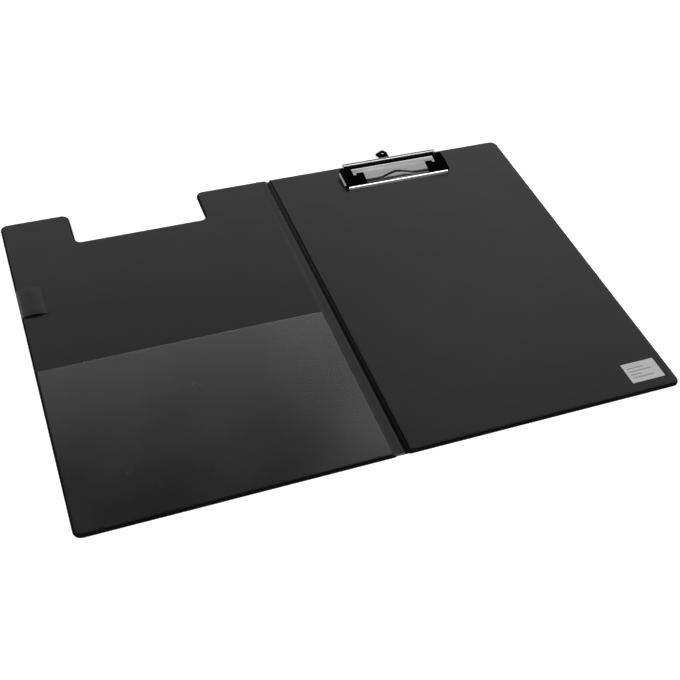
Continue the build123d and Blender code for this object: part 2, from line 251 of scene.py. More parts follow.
class Nodes:
    """Short way to write a node tree of a material or the world."""

    def __init__(self, owner, shader, **values):
        owner.use_nodes = True
        self.owner = owner
        self.tree = owner.node_tree
        self.shader = self.tree.nodes[shader]
        for key, value in values.items():
            self.shader.inputs[key.replace("_", " ")].default_value = value

    def add(self, kind, **values):
        """New node of a kind, with its settings."""
        node = self.tree.nodes.new("ShaderNode" + kind)
        for key, value in values.items():
            setattr(node, key, value)
        return node

    def link(self, a, b):
        """Link from an output to an input."""
        self.tree.links.new(a, b)

    def feed(self, socket, value):
        """Link from an output to a named input of the shader."""
        self.link(value, self.shader.inputs[socket])

    def coords(self):
        """Coordinates of the object itself."""
        return self.add("TexCoord").outputs["Object"]

    def split(self, vector):
        """The three parts of a vector, by name."""
        node = self.add("SeparateXYZ")
        self.link(vector, node.inputs["Vector"])
        return node.outputs

    def noise(self, scale, detail=3.0, rough=0.5, vector=None):
        """Noise, over the object's own coordinates where no others are given."""
        node = self.add("TexNoise")
        node.inputs["Scale"].default_value = scale
        node.inputs["Detail"].default_value = detail
        node.inputs["Roughness"].default_value = rough
        self.link(vector or self.coords(), node.inputs["Vector"])
        return node.outputs["Fac"]

    def remap(self, value, low, high, a, b):
        """Number that goes from a to b while the value goes from low to high."""
        node = self.add("MapRange")
        self.link(value, node.inputs["Value"])
        for key, number in (("From Min", low), ("From Max", high), ("To Min", a), ("To Max", b)):
            node.inputs[key].default_value = number
        return node.outputs["Result"]

    def ramp(self, value, *stops):
        """Colour from a line of (place, colour) stops."""
        node = self.add("ValToRGB")
        elements = node.color_ramp.elements
        while len(elements) < len(stops):
            elements.new(0.5)
        for element, (place, colour) in zip(elements, stops):
            element.position = place
            element.color = (*colour, 1)
        self.link(value, node.inputs["Fac"])
        return node.outputs["Color"]

    def spread(self, noise, a, b):
        """Number that goes from a to b over the middle of a noise."""
        return self.remap(noise, NOISE_LOW, NOISE_HIGH, a, b)

    def mottle(self, noise, dark, light):
        """Colour that goes from dark to light over the middle of a noise."""
        return self.ramp(noise, (NOISE_LOW, dark), (NOISE_HIGH, light))

    def mix(self, factor, a, b):
        """Colour of an output, turning into the plain colour b with the factor."""
        node = self.add("Mix", data_type="RGBA")
        self.link(factor, node.inputs["Factor"])
        self.link(a, node.inputs["A"])
        node.inputs["B"].default_value = (*b, 1)
        return node.outputs["Result"]

    def math(self, op, a, b=None):
        """Sum, product or other operation on outputs and plain numbers."""
        node = self.add("Math", operation=op)
        for socket, value in zip(node.inputs, (a, b)):
            if value is None:
                continue
            if isinstance(value, (int, float)):
                socket.default_value = value
            else:
                self.link(value, socket)
        return node.outputs[0]

    def within(self, value, low, high):
        """One between two limits and zero outside them."""
        above = self.math("GREATER_THAN", value, low)
        return self.math("MULTIPLY", above, self.math("LESS_THAN", value, high))

    def crease(self):
        """How deep in its crease each point lies, as marked on the piece, for painted shade."""
        return self.add("Attribute", attribute_name="crease").outputs["Fac"]

    def bump(self, height, depth, strength, bevel=None):
        """Small relief of the surface, over edges rounded by a bevel where it is asked for."""
        node = self.add("Bump")
        node.inputs["Strength"].default_value = strength
        node.inputs["Distance"].default_value = depth
        self.link(height, node.inputs["Height"])
        if bevel:
            edge = self.add("Bevel", samples=BEVEL_SAMPLES)
            edge.inputs["Radius"].default_value = bevel
            self.link(edge.outputs["Normal"], node.inputs["Normal"])
        self.feed("Normal", node.outputs["Normal"])


def surface(name, **values):
    """Node material of a name, with plain values on its shader."""
    return Nodes(bpy.data.materials.new(name), "Principled BSDF", **values)


PVC_GRAIN_SCALE = 1500
PVC_CELL_SCALE = 950
PVC_SHADE_SCALE = 9
PVC_GLOSS_SCALE = 40
PVC_DEPTH = 0.00003


def grained_pvc(name, shade, rough, grain=1.0, specular=0.5, crease_shaded=False):
    """Calendered black PVC: a fine leather grain, slow drifts in gloss and tone, and where asked painted
    shade in a crease, its reflection turned down there.
    """
    n = surface(name, Specular_IOR_Level=specular)
    if crease_shaded:
        # painted shade: the reflection falls nearly away in the marked crease
        n.feed("Specular IOR Level", n.remap(n.crease(), 0.0, 0.8, specular, specular * 0.05))
    fine = n.noise(PVC_GRAIN_SCALE, 2.0, 0.55)
    cells = n.add("TexVoronoi", feature="SMOOTH_F1")
    cells.inputs["Scale"].default_value = PVC_CELL_SCALE
    n.link(n.coords(), cells.inputs["Vector"])
    light = (shade * 1.15, shade * 1.15, shade * 1.17)
    n.feed("Base Color", n.mottle(n.noise(PVC_SHADE_SCALE, 3.0, 0.6), grey(shade * 0.85), light))
    n.feed("Roughness", n.spread(n.noise(PVC_GLOSS_SCALE, 4.0, 0.6), rough - 0.03, rough + 0.04))
    leather = n.math("MULTIPLY", cells.outputs["Distance"], 0.7)
    n.bump(n.math("ADD", leather, n.math("MULTIPLY", fine, 0.5)), PVC_DEPTH * grain, 0.6)
    return n.owner


STREAK_SCALE = 900
PATCH_SCALE = 70
STREAK_DEPTH = 0.000004
EVEN = (1, 1, 1)
DRAWN_ACROSS = (0.05, 1, 1)


def drawn_streaks(n, stretch, smooth, rough):
    """Drawn streaks of a metal, stretched where it is asked for, that vary its roughness."""
    mapping = n.add("Mapping")
    mapping.inputs["Scale"].default_value = stretch
    n.link(n.coords(), mapping.inputs["Vector"])
    streaks = n.noise(STREAK_SCALE, 3.0, 0.6, mapping.outputs["Vector"])
    n.feed("Roughness", n.spread(streaks, smooth, rough))
    return streaks


def metal(name, colour, rough, stretch=EVEN, bevel=None):
    """Metal with faint drawn streaks, and a rounded edge where it is asked for."""
    n = surface(name, Metallic=1.0)
    n.feed("Base Color", n.mottle(n.noise(PATCH_SCALE), tuple(c * 0.93 for c in colour), colour))
    n.bump(drawn_streaks(n, stretch, rough * 0.8, rough * 1.25), STREAK_DEPTH, 0.4, bevel)
    return n.owner


def chromed_jaw_with_crease_shade():
    """Chrome whose base colour turns near black in the jaw's crease: painted shade."""
    n = surface("jaw_chrome_crease_shade_mat", Metallic=1.0)
    plating = n.mottle(n.noise(PATCH_SCALE), (0.84, 0.84, 0.85), (0.90, 0.90, 0.91))
    # painted shade: the plating colour goes near black along the marked crease
    n.feed("Base Color", n.mix(n.remap(n.crease(), 0.3, 0.8, 0.0, 1.0), plating, grey(0.02)))
    n.bump(drawn_streaks(n, DRAWN_ACROSS, 0.06, 0.10), STREAK_DEPTH, 0.4)
    return n.owner


def moulded(name, shade, rough, specular):
    """Injection-moulded black plastic with a fine, nearly smooth skin that reflects little."""
    n = surface(name, Specular_IOR_Level=specular, IOR=1.2)
    n.feed("Base Color", n.mottle(n.noise(60), grey(shade * 0.8), grey(shade * 1.2)))
    n.feed("Roughness", n.spread(n.noise(300), rough * 0.85, rough * 1.2))
    n.bump(n.noise(1400, 2.0), 0.000008, 0.4)
    return n.owner


# Label: its corner on the page, and its ruled lines in metres from that corner
LABEL_LEFT = 415.7
LABEL_BOTTOM = 9.8
RULE_STEP = 0.0031
RULE_SHARE = (0.30, 0.62)
RULED_HEIGHT = (0.0024, 0.0166)
RULE_START = 0.0026
RULE_END = 0.0175
RULE_END_SWING = 0.0055
RULE_SWING_TURN = 2.4


def label_paper():
    """Matt sticker with generic grey ruled lines of uneven lengths."""
    n = surface("label_paper_mat", Roughness=0.62)
    place = n.split(n.coords())
    corner = row(LABEL_LEFT, LABEL_BOTTOM, 0)
    x = n.math("SUBTRACT", place["X"], corner.x)
    y = n.math("SUBTRACT", place["Y"], corner.y)
    line = n.math("MULTIPLY", y, 1 / RULE_STEP)
    stroke = n.within(n.math("FRACT", line), *RULE_SHARE)
    ruled = n.within(y, *RULED_HEIGHT)
    swing = n.math("SINE", n.math("MULTIPLY", n.math("FLOOR", line), RULE_SWING_TURN))
    end = n.math("ADD", RULE_END, n.math("MULTIPLY", swing, RULE_END_SWING))
    ink = n.math("MULTIPLY", n.math("MULTIPLY", stroke, ruled), n.within(x, RULE_START, end))
    n.feed("Base Color", n.ramp(ink, (0.0, grey(0.42)), (1.0, (0.20, 0.20, 0.21))))
    n.bump(n.noise(1800), 0.00001, 0.3)
    return n.owner


def board_grey():
    """Recycled greyboard with flecks."""
    n = surface("greyboard_mat", Roughness=0.9)
    flecks = n.noise(900, 5.0, 0.7)
    n.feed("Base Color", n.ramp(flecks, (0.35, (0.30, 0.27, 0.23)), (0.7, (0.47, 0.43, 0.38))))
    n.bump(n.noise(1300, 4.0), 0.00005, 0.5)
    return n.owner


def clear_pvc():
    """Clear soft sheet: glassy, faintly wavy, with a slight haze."""
    n = surface("clear_pvc_mat", Transmission_Weight=1.0, IOR=1.62)
    n.feed("Base Color", n.mottle(n.noise(12, 2.0), (0.935, 0.935, 0.94), (0.97, 0.97, 0.975)))
    n.feed("Roughness", n.spread(n.noise(22), 0.13, 0.18))
    n.bump(n.noise(30, 2.0), 0.0001, 0.15)
    return n.owner


PVC = grained_pvc("black_pvc_mat", 0.0036, 0.30, 0.8)
PVC_OUTER = grained_pvc("black_pvc_outer_mat", 0.0040, 0.46, 1.6)
# spine PVC whose reflection falls away in its groove: painted shade
PVC_SPINE_SHADED = grained_pvc("black_pvc_spine_groove_shade_mat", 0.0036, 0.42, crease_shaded=True)
# darker, nearly matt copy of the black PVC for the low edge of the panel skins: painted shade
PVC_EDGE_SHADE = grained_pvc("black_pvc_edge_shade_mat", 0.002, 0.60, specular=0.03)
PVC_LOOP = grained_pvc("black_pvc_loop_mat", 0.0045, 0.44, 1.2)
CHROME = metal("chromed_steel_mat", (0.90, 0.90, 0.91), 0.07, DRAWN_ACROSS)
CHROME_JAW_SHADED = chromed_jaw_with_crease_shade()
# near-black metal for the inside of the jaw's roll: painted shade
ROLL_INSIDE_SHADE = metal("roll_inside_shade_mat", (0.05, 0.05, 0.05), 0.6)
BRIGHT = metal("bright_steel_mat", (0.66, 0.66, 0.68), 0.22, bevel=0.0002)
SPRING = metal("spring_steel_mat", (0.50, 0.50, 0.52), 0.30)
# black plastic of the end caps with its sheen turned almost off, partly painted shade; on the trough band it
# is all painted shade
BLACK_PLASTIC_AND_SHADE = moulded("black_plastic_and_shade_mat", 0.0008, 0.30, 0.03)
# chrome for the roll and feet with its colour darkened: painted shade, with a rougher finish
SHADE_PAINTED_CHROME = metal("shade_painted_chrome_mat", (0.40, 0.40, 0.41), 0.24, DRAWN_ACROSS)
TAB = moulded("black_eyelet_plastic_mat", 0.0012, 0.36, 0.06)
LABEL = label_paper()
GREY = board_grey()
CLEAR = clear_pvc()

FINISHES = (
    (GREY, ("back_board", "front_board")),
    (CHROME, ("clip_base_plate", "jaw_plate")),
    (BRIGHT, ("clip_rivets", "rivet_washers", "pivot_pin")),
    (SPRING, ("torsion_spring_right", "torsion_spring_left")),
    (BLACK_PLASTIC_AND_SHADE, ("end_cap_right", "end_cap_left")),
    (TAB, ("hanging_eyelet",)),
    (LABEL, ("label_sticker",)),
    (PVC_OUTER, ("back_outer_skin", "front_outer_skin")),
    (PVC, ("back_inner_skin", "front_inner_skin")),
    (PVC_SPINE_SHADED, ("spine_outer_strip", "spine_inner_strip")),
    (CLEAR, ("clear_pocket", "pocket_weld_seam")),
    (PVC_LOOP, ("pen_loop",)),
)
for material, nodes in FINISHES:
    for node in nodes:
        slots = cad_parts[node].data.materials
        slots.clear()
        slots.append(material)


# Panels: each inner skin drops over its board to a narrow welded edge, drawn as (inset, height) points
CORNER = 6.0
LEAST_CORNER = 1.2
INNER_CORNER = 4.5
CORNER_STEPS = 8
NOTCH_X = OPEN_WIDTH - CLIP_X
NOTCH_HALF = 54.5
NOTCH_BOTTOM = CLIP_FRONT - 6.6
SKIN_BOTTOM = 0.31
EDGE = (
    (0.12, SKIN_BOTTOM), (0.00, 0.50), (0.00, 1.10), (0.12, 1.50),
    (0.40, 1.95), (0.85, 2.28), (1.40, 2.44), (2.00, FACE),
)
EDGE_INSET = EDGE[-1][0]
# height below which the skin's edge takes the darker PVC: painted shade
EDGE_SHADE_TOP = 2.4
SPINE_SHARE = 0.7
LEVEL_RING = 1.5
RING_STEP = 6.0


def key_points(inset, spine_inset, notched):
    """Panel outline drawn in by an inset, as page-frame points anticlockwise."""
    x0, y0, y1 = inset, inset, BOARD_HEIGHT - inset
    x1 = COVER_EDGE - spine_inset
    r = max(CORNER - inset, LEAST_CORNER)
    points = [(x1, y0), (x1, y1)]
    if notched:
        left, right = NOTCH_X - NOTCH_HALF - inset, NOTCH_X + NOTCH_HALF + inset
        bottom, q = NOTCH_BOTTOM - inset, INNER_CORNER + inset
        points += arc(right + r, y1 - r, r, 90, 90, CORNER_STEPS)
        points += arc(right - q, bottom + q, q, 0, -90, CORNER_STEPS)
        points += arc(left + q, bottom + q, q, -90, -90, CORNER_STEPS)
        points += arc(left - r, y1 - r, r, 0, 90, CORNER_STEPS)
    points += arc(x0 + r, y1 - r, r, 90, 90, CORNER_STEPS)
    points += arc(x0 + r, y0 + r, r, 180, 90, CORNER_STEPS)
    return points


def panel_rings(profile, notched):
    """Outlines at each (inset, height), all with the same number of points."""
    marks = key_points(0, 0, notched)
    rings = []
    for inset, z in profile:
        moved = key_points(inset, inset * SPINE_SHARE, notched)
        ring = []
        for i, (a, b) in enumerate(zip(marks, marks[1:] + marks[:1])):
            c, d = moved[i], moved[(i + 1) % len(moved)]
            steps = max(1, round(math.dist(a, b) / RING_STEP))
            for k in range(steps):
                t = k / steps
                ring.append((c[0] + (d[0] - c[0]) * t, c[1] + (d[1] - c[1]) * t, z))
        rings.append(ring)
    return rings


def panel_skin(name, notched, to_back):
    """Closed skin from rings up its edge, and one level ring more, so that the flat face shades flat; the
    faces low on its edge are painted darker as shade.
    """
    rings = panel_rings([(EDGE_INSET, SKIN_BOTTOM), *EDGE, (EDGE_INSET + LEVEL_RING, FACE)], notched)
    if to_back:
        rings = [[(OPEN_WIDTH - x, y, z) for x, y, z in ring] for ring in rings]
    count = len(rings[0])
    verts = [v for ring in rings for v in ring]
    faces = [tuple(range(count)), tuple((len(rings) - 1) * count + i for i in range(count))]
    for k in range(len(rings) - 1):
        faces += ring_faces(count, k, k + 1)
    skin = piece(name, verts, faces, PVC)
    skin.data.materials.append(PVC_EDGE_SHADE)
    # painted shade: faces low on the edge take the darker PVC
    for face in skin.data.polygons:
        face.material_index = 1 if page(face.center)[2] < EDGE_SHADE_TOP else 0
    return skin


attach(panel_skin("front_draped_skin", True, False), "front_cover", "black_pvc", "front_inner_skin")
attach(panel_skin("back_draped_skin", False, True), "back_panel", "black_pvc", "back_inner_skin")


# Spine: a low ridge beside the cover and one soft groove beside the back panel, drawn as (x, height) points
SPINE_TOP = ((218.6, 2.53), (222.4, 2.20), (226.0, 2.10), (229.7, 0.35), (232.3, 2.40))
SPINE_END = 0.7
SPINE_ROWS = 64
SPINE_COLUMNS = 30
# middle and half width of the groove's painted shade, and how far it fades toward the top
GROOVE = 229.6
GROOVE_HALF = 3.4
GROOVE_FADE = 0.5
GROOVE_FADE_START = 40.0


def groove_shade(x, y):
    """How much painted shade a place gets in the spine's groove, less toward the top edge."""
    depth = 1 - GROOVE_FADE * smooth_step((y - GROOVE_FADE_START) / (BOARD_HEIGHT - GROOVE_FADE_START))
    return depth * (1 - smooth_step(abs(x - GROOVE) / GROOVE_HALF))


def spine_half(name, x0, x1):
    """Skin strip across one of the spine's two creases, with both its faces."""
    upper, lower = [], []
    for j in range(SPINE_ROWS + 1):
        y = SPINE_END + (BOARD_HEIGHT - 2 * SPINE_END) * j / SPINE_ROWS
        places = [x0 + (x1 - x0) * i / SPINE_COLUMNS for i in range(SPINE_COLUMNS + 1)]
        upper.append([(x, y, between(SPINE_TOP, x)) for x in places])
        lower.append([(x, y, 0.0) for x in places])
    strip = piece(name, *closed_sheet(upper, lower), PVC_SPINE_SHADED)
    # the groove gets its painted shade from this mark
    mark_crease_shade(strip, groove_shade)
    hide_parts("spine_inner_strip", "spine_outer_strip")
    return strip


cover_side = spine_half("spine_skin_cover_side", SPINE_TOP[0][0], OPEN_WIDTH / 2)
panel_side = spine_half("spine_skin_panel_side", OPEN_WIDTH / 2, SPINE_TOP[-1][0])
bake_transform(cover_side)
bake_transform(panel_side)


# Clear pocket: a thin soft sheet welded to the cover on three sides, slack in the middle
POCKET_EDGE = 2.1
POCKET_TOP = 148.6
POCKET_RIGHT = 219.0
POCKET_SHEET = 0.2
POCKET_GAP = 0.06
WELD_WIDTH = 2.4
SLACK = 0.26
SLACK_RUN = 50.0
WAVES = ((0.05, 31, 57, 0.0), (0.03, 17, -23, 1.3))
FIRST_MARKS = (0, 0.35, 0.8, 1.3, 2.0, 3.2, 5.0)
LAST_MARKS = (5.0, 3.2, 2.0, 1.2, 0.5, 0)
MARK_STEP = 5.0


def round_corner(x, y):
    """Point of a square corner moved in to the cover's round corner."""
    a, b = CORNER - x, CORNER - y
    if a <= 0 or b <= 0:
        return x, y
    reach = max(a, b) / math.hypot(a, b)
    return CORNER - a * reach, CORNER - b * reach


def pocket_height(x, y):
    """Underside of the pocket over the cover: down on the edge, clear of the face inside the weld."""
    inset = min(x, y)
    base = FACE if inset >= EDGE_INSET else between(EDGE[2:], inset)
    slack = smooth_step((min(inset, POCKET_RIGHT - x) - WELD_WIDTH) / SLACK_RUN)
    wave = sum(high * math.sin(x / across + y / along + start) for high, across, along, start in WAVES)
    return base + POCKET_GAP + slack * (SLACK + wave)


def marks_along(start, end):
    """Places from start to end, close together near both ends."""
    first, last = FIRST_MARKS[-1], LAST_MARKS[0]
    run = end - start - first - last
    count = round(run / MARK_STEP)
    middle = [start + first + run * i / count for i in range(1, count)]
    return [start + d for d in FIRST_MARKS] + middle + [end - d for d in LAST_MARKS]


def pocket():
    """Pocket sheet as one closed piece."""
    upper, lower = [], []
    for y in marks_along(POCKET_EDGE, POCKET_TOP):
        low_line, high_line = [], []
        for x in marks_along(POCKET_EDGE, POCKET_RIGHT):
            px, py = round_corner(x, y)
            z = pocket_height(x, y)
            low_line.append((px, py, z))
            high_line.append((px, py, z + POCKET_SHEET))
        lower.append(low_line)
        upper.append(high_line)
    return piece("pocket_sheet", *closed_sheet(upper, lower), CLEAR)


attach(pocket(), "front_cover", "clear_pvc", "clear_pocket", "pocket_weld_seam")


# Pen loop: a soft band from the cover's edge, bowed up to take a pen and down again to its seam
LOOP_BOTTOM = 207.0
LOOP_LENGTH = 31.0
LOOP_LEFT = 0.35
LOOP_RIGHT = 20.8
LOOP_SHEET = 0.5
LOOP_GAP = 0.05
LOOP_BOW = 1.75
LOOP_SEAM = 0.9
LOOP_DIP = 0.9
LOOP_DIP_END = 0.08
LOOP_ROUNDNESS = 0.8
LOOP_PRESS = 0.12
LOOP_PRESS_RATE = 6
LOOP_ROWS = 16
LOOP_COLUMNS = 32


def loop_line():
    """Middle line of the band across the cover, as (x, height) points."""
    line = []
    for i in range(LOOP_COLUMNS + 1):
        t = i / LOOP_COLUMNS
        bow = math.sin(math.pi * min(t / LOOP_SEAM, 1.0)) ** LOOP_ROUNDNESS
        dip = LOOP_DIP * (1 - smooth_step(t / LOOP_DIP_END))
        line.append((LOOP_LEFT + (LOOP_RIGHT - LOOP_LEFT) * t, FACE + LOOP_GAP - dip + LOOP_BOW * bow))
    return line


def pen_loop():
    """Band as a closed sheet, its free ends pressed a little flatter."""
    upper, lower = [], []
    for j in range(LOOP_ROWS + 1):
        t = j / LOOP_ROWS
        press = 1 - LOOP_PRESS * (1 - smooth_step(min(t, 1 - t) * LOOP_PRESS_RATE))
        y = LOOP_BOTTOM + LOOP_LENGTH * t
        line = [(x, FACE + (z - FACE) * press) for x, z in loop_line()]
        upper.append([(x, y, z) for x, z in offset_line(line, LOOP_SHEET / 2)])
        lower.append([(x, y, z) for x, z in offset_line(line, -LOOP_SHEET / 2)])
    return piece("pen_loop_band", *closed_sheet(upper, lower), PVC_LOOP)


attach(pen_loop(), "front_cover", "black_pvc", "pen_loop")


# Clip, in millimetres across, back and up from the middle of the jaw's front edge on the panel's face
JAW_SHEET = 0.7
JAW_CLEAR = 0.01
JAW_FORWARD = 2.0
JAW_LOWER = 0.4
JAW_FIXED = 22.0
SLOPE_RUN = 11.9
LIP_HEIGHT = 1.9
CROWN = 4.65
CROWN_EASE = 1.5
SLOPE = (CROWN - LIP_HEIGHT) / (SLOPE_RUN - JAW_SHEET / 2)
FOOT_FRONT_UP = 0.7
FOOT_RISE = 0.083


def on_clip(across, back, up):
    """Point of the clip as a point of the page frame."""
    return CLIP_X + across, CLIP_FRONT + back, FACE + up


def on_jaw(across, back, up):
    """Point of the jaw in the page frame, its front drawn a little forward and down as in the photo."""
    forward = JAW_FORWARD * (1 - (max(back, 0.0) / JAW_FIXED) ** 2)
    return on_clip(across, back - forward, up - JAW_LOWER * (1 - back / JAW_FIXED))


def jaw_top(back):
    """Upper face of the jaw's slope, eased into the level crown."""
    ahead = SLOPE_RUN - back
    return CROWN + JAW_SHEET / 2 + JAW_CLEAR - SLOPE * (ahead + math.hypot(ahead, CROWN_EASE)) / 2


def wall_foot(back):
    """Foot of the jaw's side walls, cut to rise to the rear so that the jaw can tip."""
    return FOOT_FRONT_UP + FOOT_RISE * back


# Jaw sheet: lip, slope, arched crease and raised plate; its short lines are (back, rise) steps
JAW_HALF = 47.4
JAW_COLUMNS = 120
LIP_GAP = 0.15
LIP_BEND = 1.55
LIP_END = LIP_BEND + 0.35
FRONT_ROWS = 10
FRONT_LIFT = 0.36
LIFT_RUN = 4.0
CREASE_SIDE = 3.9
CREASE_PEAK = 8.2
CREASE_FOOT = 19.6
CREASE_HALF = 0.8
CREASE_DIP = ((-0.4, 0.05), (0.0, -0.1), (0.4, 0.05))
CREASE_FRINGE = 0.1
CREASE_FADE = 0.3
CROWN_END = 18.7
PLATE_REAR = CROWN_END - 1.1
PLATE_HALF = 39.1
PLATE_FADE = 0.5
PLATE_ROWS = 18
PLATE_TILT = 0.085
RELIEF = 0.5
REAR_SHARES = ((0.3, 0.94), (0.5, 0.78), (0.6, 0.5), (0.65, 0.0))
REAR_TURN = ((0.0, -0.05), (0.3, -0.5))


def crease_at(across):
    """Place of the arched crease, back from the front edge."""
    return CREASE_SIDE + (CREASE_PEAK - CREASE_SIDE) * (1 - smooth_step(abs(across) / CREASE_FOOT))


def crease_shade_depth(x, y):
    """How far a place lies in the jaw's crease, for the painted shade there."""
    away = abs(y - on_jaw(0, crease_at(x - CLIP_X), 0)[1])
    return 1 - smooth_step((away - CREASE_HALF - CREASE_FRINGE) / CREASE_FADE)


def plate_rise(across, back):
    """Height of the raised plate over the jaw's own slope and crown, none under the end caps' columns."""
    inside = 1 - smooth_step((abs(across) - PLATE_HALF) / PLATE_FADE)
    return inside * (RELIEF + PLATE_TILT * max(0.0, back - SLOPE_RUN))


def lip_line(inside):
    """Lip and its bend: the outer face, or the inner one a sheet further in."""
    drop = inside * JAW_SHEET
    corner = (drop, jaw_top(drop) - drop, LIP_BEND - drop)
    return rounded([(drop, LIP_GAP, 0), corner, (LIP_END, jaw_top(LIP_END) - drop, 0)])


def jaw_rows(across):
    """Upper and lower points of the pressed sheet at one place across, as (back, up)."""
    upper, lower = lip_line(0), lip_line(1)
    first = upper[-1][0]
    middle = crease_at(across)
    shoulder = middle - CREASE_HALF
    lift = FRONT_LIFT * min(1.0, (shoulder - first) / LIFT_RUN)
    backs = []
    for i in range(1, FRONT_ROWS + 1):
        t = i / FRONT_ROWS
        backs.append((first + (shoulder - first) * t, lift * (1 - (1 - t) ** 2)))
    backs += [(middle + step, rise) for step, rise in CREASE_DIP]
    start = middle + CREASE_HALF
    for i in range(PLATE_ROWS + 1):
        back = start + (PLATE_REAR - start) * i / PLATE_ROWS
        backs.append((back, plate_rise(across, back)))
    top = plate_rise(across, PLATE_REAR)
    backs += [(PLATE_REAR + step, top * share) for step, share in REAR_SHARES]
    backs += [(CROWN_END + step, rise) for step, rise in REAR_TURN]
    for back, rise in backs:
        upper.append((back, jaw_top(back) + rise))
        lower.append((back, jaw_top(back) + rise - JAW_SHEET))
    return upper, lower


def jaw_sheet():
    """Pressed sheet of the jaw, with extra columns where the plate's sides come down."""
    places = [JAW_HALF * (2 * i / JAW_COLUMNS - 1) for i in range(JAW_COLUMNS + 1)]
    for side in (-1, 1):
        places += [side * (PLATE_HALF + step) for step in (0.0, PLATE_FADE / 2, PLATE_FADE)]
    places.sort()
    sections = [jaw_rows(x) for x in places]
    grids = []
    for face in (0, 1):
        count = len(sections[0][face])
        grids.append([[on_jaw(x, *s[face][j]) for x, s in zip(places, sections)] for j in range(count)])
    sheet = piece("jaw_pressed_sheet", *closed_sheet(*grids), CHROME_JAW_SHADED, angle=40.0)
    # the crease gets its painted shade from this mark
    mark_crease_shade(sheet, crease_shade_depth)
    return sheet


# Roll: the trough behind the crown, as (back, up, radius) corners, and the rolled thumb edge
TROUGH = ((18.8, 4.5, 0), (20.0, 3.25, 0.6), (21.6, 3.25, 0.6), (23.15, 3.95, 0.6), (23.15, 4.6, 0))
ROLL_HALF = 44.2
ROLL_COLUMNS = 12
ROLL_MIDDLE = 1.25
ROLL_BACK = 24.4
ROLL_UP = 5.4
ROLL_TURN = 250
ROLL_STEPS = 28
ROLL_SKIN = 0.1


def jaw_roll():
    """Trough and rolled edge in chrome darkened as painted shade, with painted shade near black inside the
    roll.
    """
    line = rounded(TROUGH) + arc(ROLL_BACK, ROLL_UP, ROLL_MIDDLE, 180, -ROLL_TURN, ROLL_STEPS)
    places = [ROLL_HALF * (2 * i / ROLL_COLUMNS - 1) for i in range(ROLL_COLUMNS + 1)]
    grids = []
    for distance in (JAW_SHEET / 2, -JAW_SHEET / 2):
        grids.append([[on_clip(x, back, up) for x in places] for back, up in offset_line(line, distance)])
    roll = piece("jaw_roll", *closed_sheet(*grids), SHADE_PAINTED_CHROME)
    # painted shade: faces inside the roll take the near-black metal
    roll.data.materials.append(ROLL_INSIDE_SHADE)
    for face in roll.data.polygons:
        _, y, z = page(face.center)
        inside = math.hypot(y - CLIP_FRONT - ROLL_BACK, z - FACE - ROLL_UP) < ROLL_MIDDLE - ROLL_SKIN
        face.material_index = 1 if inside else 0
    return roll


# Ends of the jaw: wall, outturned foot, ear on the pivot pin and moulded cap, drawn for the right end
WALL_INNER = 48.1
WALL_FRONT = 4.0
WALL_REAR = 19.8
WALL_SUNK = 0.3
WALL_BACKS = (WALL_FRONT, 8.0, SLOPE_RUN - 1.5, SLOPE_RUN, SLOPE_RUN + 1.5, WALL_REAR)
FOOT_INNER = 48.0
FOOT_HALF = 50.2
FOOT_FRONT = 3.4
FOOT_REAR = 18.6
FOOT_LIP = 0.4
FOOT_SLOPE = 0.85
FOOT_OUTLINE = rounded(
    [
        (FOOT_INNER, FOOT_FRONT, 0.2), (FOOT_HALF, FOOT_FRONT, 0.8),
        (FOOT_HALF, FOOT_REAR, 0.8), (FOOT_INNER, FOOT_REAR, 0.2),
    ],
    closed=True,
)
EAR_INNER = 38.1
EAR_RADIUS = 1.5
EAR_TOP = CROWN - 0.2
PIVOT_BACK = 14.4
PIVOT_UP = 2.4
CAP_HALF = 49.1
CAP_RISE = 0.8
CAP_SUNK = 0.5
CAP_SKIRT = 47.5
CAP_SKIRT_GAP = 1.5
CAP_TOE = 4.2
CAP_OUTLINE = rounded(
    [
        (29.7, 1.5, 0.4), (47.6, 1.5, 0.2), (47.6, 0.5, 0.3), (CAP_HALF, 0.5, 1.4), (CAP_HALF, 20.9, 1.2),
        (43.7, 20.9, 0.4), (43.7, 18.6, 0.3), (39.7, 18.6, 0.3), (39.7, 10.9, 0.5), (36.4, 10.9, 0.5),
        (36.4, 12.9, 0.5), (29.7, 12.9, 0.5),
    ],
    closed=True,
)
CUT_GAP = 0.05
CROWN_CUTS = (-3.0, -1.8, -0.9, 0.0, 0.9, 1.8, 3.0)


def foot_low(across, back):
    """Underside of an outturned foot."""
    return wall_foot(back)


def foot_high(across, back):
    """Upper face of an outturned foot, falling away outwards."""
    return wall_foot(back) + FOOT_LIP + FOOT_SLOPE * (FOOT_HALF - abs(across))


def cap_low(across, back):
    """Underside of an end cap: inside the jaw's sheet, and down the outside of its wall."""
    if abs(across) < CAP_SKIRT:
        return jaw_top(back) - CAP_SUNK
    return wall_foot(back) + (CAP_SKIRT_GAP if back > CAP_TOE else 0.0)


def cap_high(across, back):
    """Top of an end cap, over the jaw's slope and crown."""
    return jaw_top(back) + CAP_RISE


def end_plate(name, section, side, inner, place):
    """Sheet of a (back, up) section that stands at one end of the clip, from its inner face out."""
    count = len(section)
    span = sorted((side * inner, side * (inner + JAW_SHEET)))
    verts = [place(x, back, up) for x in span for back, up in section]
    faces = [tuple(range(count)), tuple(range(count, 2 * count))] + ring_faces(count, 0, 1)
    return piece(name, verts, faces, CHROME)


